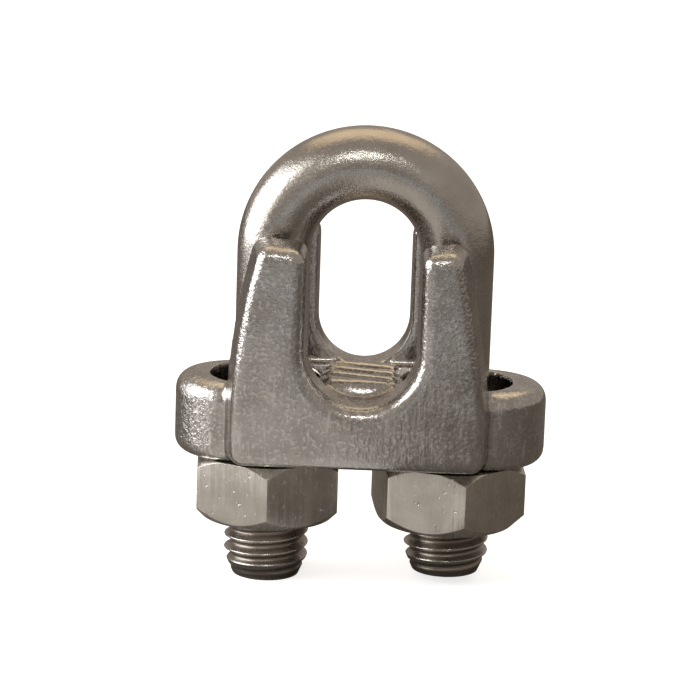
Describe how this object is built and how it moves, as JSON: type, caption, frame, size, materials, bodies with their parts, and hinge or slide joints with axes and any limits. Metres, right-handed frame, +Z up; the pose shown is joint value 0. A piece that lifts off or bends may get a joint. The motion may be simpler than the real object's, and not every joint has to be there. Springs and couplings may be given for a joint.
{
  "type": "wire rope clip",
  "caption": "Wire rope clip with a threaded U-bolt, a cast saddle with a ribbed rope pad, and hex nuts that draw the saddle up against the rope.",
  "frame": {"origin": "under the middle of the saddle, level with the end of the longer leg, at the bottom centre of the bounding box", "axes": "+Z up the legs towards the arch, X from leg to leg, Y along the clamped rope"},
  "size_m": [0.0342, 0.0172, 0.0426],
  "materials": {
    "u_bolt_steel": "satin stainless rod with rolled threads",
    "cast_saddle": "tumbled stainless investment casting",
    "nut_steel": "bright machined stainless"
  },
  "bodies": {
    "u_bolt": {"u_bolt": "u_bolt_steel"},
    "saddle": {"saddle": "cast_saddle"},
    "left_nut": {"left_nut": "nut_steel"},
    "right_nut": {"right_nut": "nut_steel"}
  },
  "joints": [
    {"name": "saddle_slide", "type": "slide", "parent": "u_bolt", "child": "saddle", "axis": [0, 0, 1], "range_m": [-0.00469, 0.00375]},
    {"name": "left_nut_spin", "type": "hinge", "parent": "saddle", "child": "left_nut", "pos_m": [-0.0084, 0, 0.009], "axis": [0, 0, 1], "range_deg": [-1350.1, 1080.1]},
    {"name": "right_nut_spin", "type": "hinge", "parent": "saddle", "child": "right_nut", "pos_m": [0.0084, 0, 0.009], "axis": [0, 0, 1], "range_deg": [-1350.1, 1080.1]}
  ],
  "couplings": [
    {"joint": "left_nut_spin", "follows": "saddle_slide", "rad_per_m": 5026.5},
    {"joint": "right_nut_spin", "follows": "saddle_slide", "rad_per_m": 5026.5}
  ]
}
